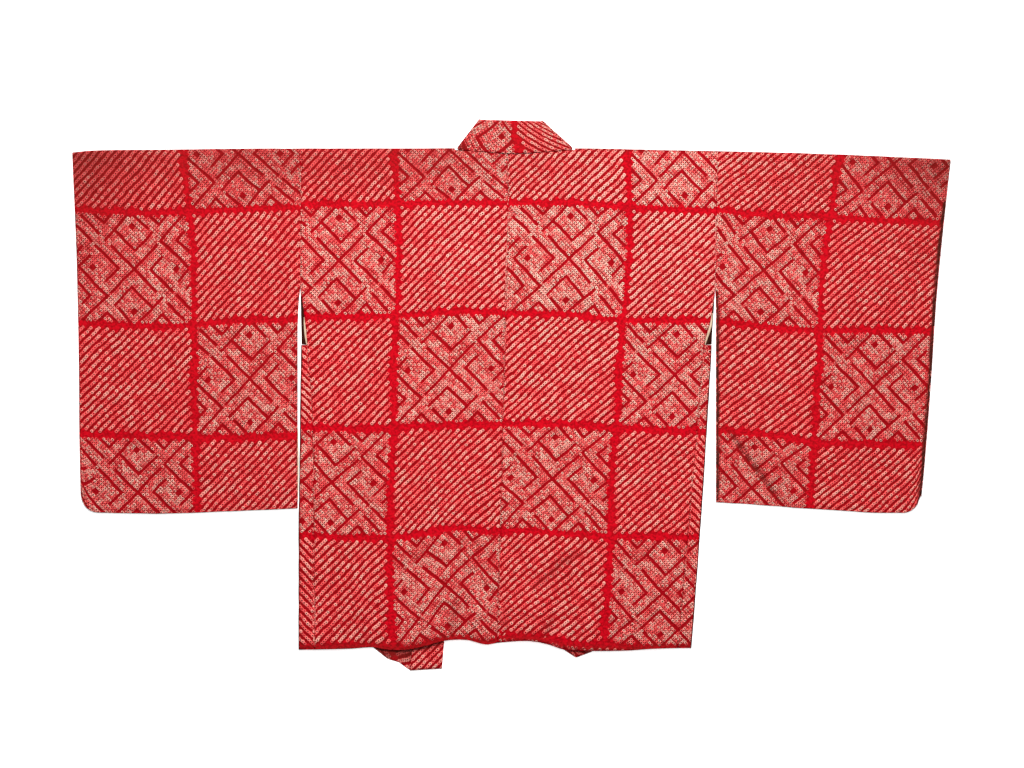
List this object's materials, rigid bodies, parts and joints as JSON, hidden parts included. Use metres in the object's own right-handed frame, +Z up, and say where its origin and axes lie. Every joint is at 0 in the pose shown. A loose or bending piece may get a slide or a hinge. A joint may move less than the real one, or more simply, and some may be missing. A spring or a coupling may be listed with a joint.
{
  "type": "haori",
  "caption": "Short kimono jacket laid flat with its back up: wide square sleeves, side gussets, turned collar, tie-dyed red silk.",
  "frame": {"origin": "centre of the footprint of the garment as it lies, on the surface that it lies on", "axes": "+X across the back from the left sleeve to the right sleeve as seen from above, +Y from the hem to the collar, +Z up from the surface"},
  "size_m": [1.2657, 0.794, 0.0076],
  "materials": {
    "shibori_silk": "red silk crepe, tie-dyed in small raised dots with a soft matte surface",
    "lining_silk": "smooth cream silk with a low sheen"
  },
  "bodies": {
    "root": {"body_left": "shibori_silk", "body_right": "shibori_silk", "sleeve_left": "shibori_silk", "sleeve_right": "shibori_silk", "gusset_left": "shibori_silk", "gusset_right": "shibori_silk", "collar_left": "shibori_silk", "collar_right": "shibori_silk", "collar_back": "shibori_silk", "lining_underarm_left": "lining_silk", "lining_underarm_right": "lining_silk", "lining_sleeve_left": "lining_silk"}
  },
  "joints": []
}
